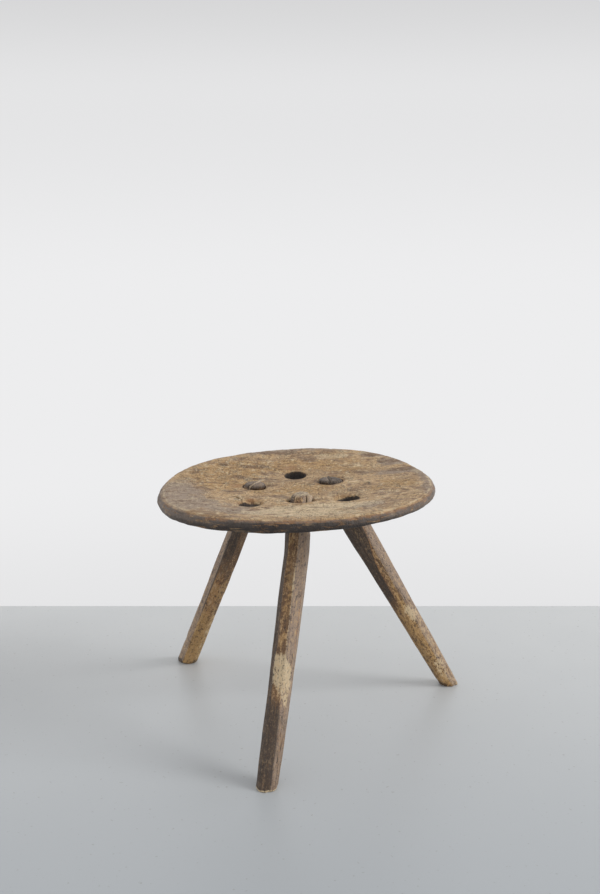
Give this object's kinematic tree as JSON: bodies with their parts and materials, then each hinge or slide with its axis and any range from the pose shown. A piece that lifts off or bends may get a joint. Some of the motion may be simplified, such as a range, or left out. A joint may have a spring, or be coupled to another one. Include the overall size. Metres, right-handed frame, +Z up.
{
  "type": "three leg stool",
  "caption": "Low wooden stool with a round dished plank seat, splayed hewn legs on wedged through tenons, and spare leg mortises.",
  "frame": {"origin": "on the floor under the middle of the whole stool's footprint", "axes": "+Z up, square to the face of the feet; -Y towards the front leg; +X to the right when the front leg points at the viewer"},
  "size_m": [0.4427, 0.4549, 0.3509],
  "materials": {
    "seat_wood": "bare weathered plank, polished by wear, dark hewn rim",
    "front_leg_wood": "hewn, dark brown patina with a pale worn patch",
    "left_leg_wood": "hewn, golden brown patina",
    "right_leg_wood": "hewn, dark and grey brown facets",
    "wedge_wood": "grey end grain, unfinished"
  },
  "bodies": {
    "root": {"seat": "seat_wood", "front_leg": "front_leg_wood", "left_leg": "left_leg_wood", "right_leg": "right_leg_wood", "left_wedge": "wedge_wood", "right_wedge": "wedge_wood", "front_shim": "wedge_wood"}
  },
  "joints": []
}
